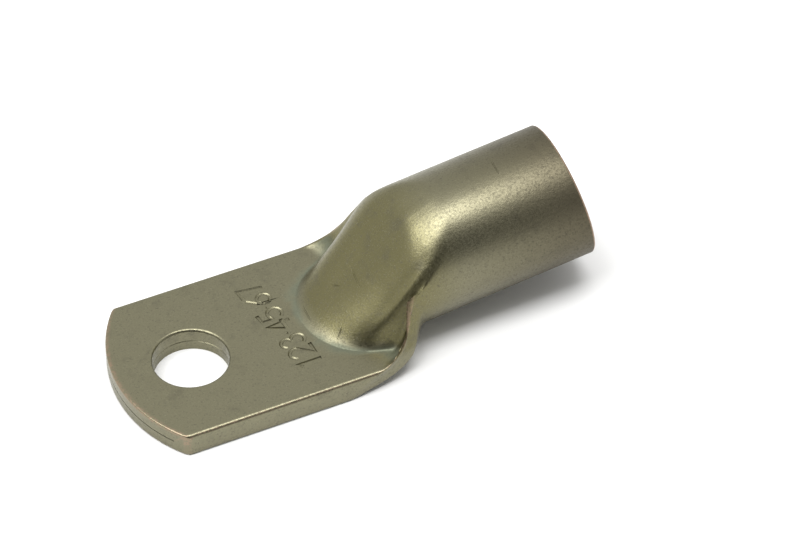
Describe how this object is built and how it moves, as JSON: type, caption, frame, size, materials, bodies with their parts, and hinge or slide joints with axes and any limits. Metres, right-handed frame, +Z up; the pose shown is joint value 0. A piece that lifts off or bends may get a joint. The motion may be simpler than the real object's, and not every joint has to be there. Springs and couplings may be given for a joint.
{
  "type": "cable lug",
  "caption": "Copper tube cable lug: round barrel for a stranded cable, pressed neck and flat palm with a stud hole, tinned.",
  "frame": {"origin": "centre of the stud hole on the palm's underside, which is the contact face", "axes": "+X along the lug towards the barrel's mouth, +Y across the palm, +Z up out of the palm along the stud"},
  "size_m": [0.0853, 0.0334, 0.0274],
  "materials": {
    "tinned_copper": "dull tin over copper, worn to copper at the edges"
  },
  "bodies": {
    "root": {"cable_lug": "tinned_copper"}
  },
  "joints": []
}
